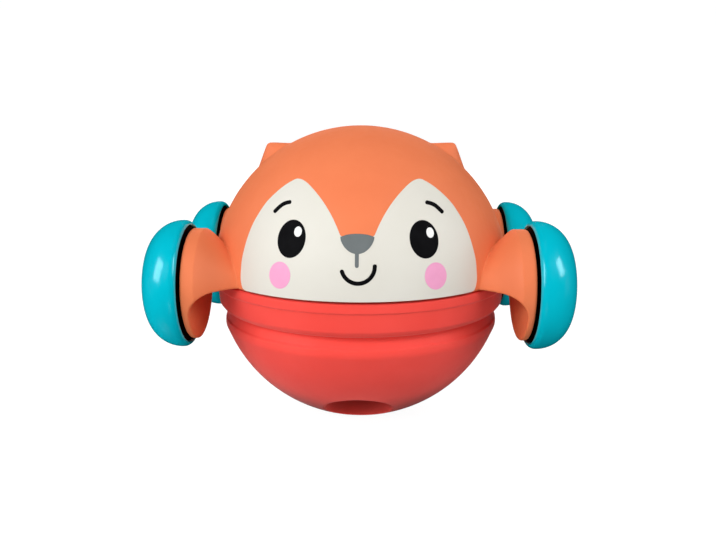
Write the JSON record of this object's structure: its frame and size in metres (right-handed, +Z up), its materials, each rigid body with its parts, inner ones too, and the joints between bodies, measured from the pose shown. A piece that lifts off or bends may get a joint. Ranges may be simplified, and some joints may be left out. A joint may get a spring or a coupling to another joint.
{
  "type": "rolling push toy",
  "caption": "Ball-shaped baby push toy with a fox-faced dome, wheels on short side arms and a soft folding bowl underneath; press the head down and it rolls.",
  "frame": {"origin": "centre of the soft base's flat foot, on the floor", "axes": "+Z up; the face looks along -Y; +X towards the right in the picture, along the wheel axles"},
  "size_m": [0.1168, 0.09, 0.0884],
  "materials": {
    "head_orange": "satin moulded plastic with a printed face",
    "base_red": "satin soft moulded elastomer",
    "ring_white": "plain moulded plastic",
    "wheel_turquoise": "glossy moulded plastic",
    "hub_black": "satin moulded plastic",
    "steel": "bright plated steel"
  },
  "bodies": {
    "head": {"head_shell": "head_orange", "base_ring": "ring_white", "ring_screw_1": "steel", "ring_screw_2": "steel", "ring_screw_3": "steel", "ring_screw_4": "steel"},
    "base": {"soft_base": "base_red"},
    "wheel_set_front_left": {"wheel_front_left": "wheel_turquoise", "wheel_hub_front_left": "hub_black", "axle_front_left": "steel", "axle_clip_front_left": "steel"},
    "wheel_set_rear_left": {"wheel_rear_left": "wheel_turquoise", "wheel_hub_rear_left": "hub_black", "axle_rear_left": "steel", "axle_clip_rear_left": "steel"},
    "wheel_set_front_right": {"wheel_front_right": "wheel_turquoise", "wheel_hub_front_right": "hub_black", "axle_front_right": "steel", "axle_clip_front_right": "steel"},
    "wheel_set_rear_right": {"wheel_rear_right": "wheel_turquoise", "wheel_hub_rear_right": "hub_black", "axle_rear_right": "steel", "axle_clip_rear_right": "steel"}
  },
  "joints": [
    {"name": "base_press", "type": "slide", "parent": "head", "child": "base", "axis": [0, 0, 1], "range_m": [0, 0.028], "stiffness_N_per_m": 150, "springref_m": -0.015, "deforming": ["soft_base"]},
    {"name": "wheel_spin_front_left", "type": "hinge", "parent": "head", "child": "wheel_set_front_left", "pos_m": [-0.05, -0.0235, 0.04485], "axis": [1, 0, 0], "continuous": true},
    {"name": "wheel_spin_rear_left", "type": "hinge", "parent": "head", "child": "wheel_set_rear_left", "pos_m": [-0.05, 0.0235, 0.04485], "axis": [1, 0, 0], "continuous": true},
    {"name": "wheel_spin_front_right", "type": "hinge", "parent": "head", "child": "wheel_set_front_right", "pos_m": [0.05, -0.0235, 0.04485], "axis": [1, 0, 0], "continuous": true},
    {"name": "wheel_spin_rear_right", "type": "hinge", "parent": "head", "child": "wheel_set_rear_right", "pos_m": [0.05, 0.0235, 0.04485], "axis": [1, 0, 0], "continuous": true}
  ]
}
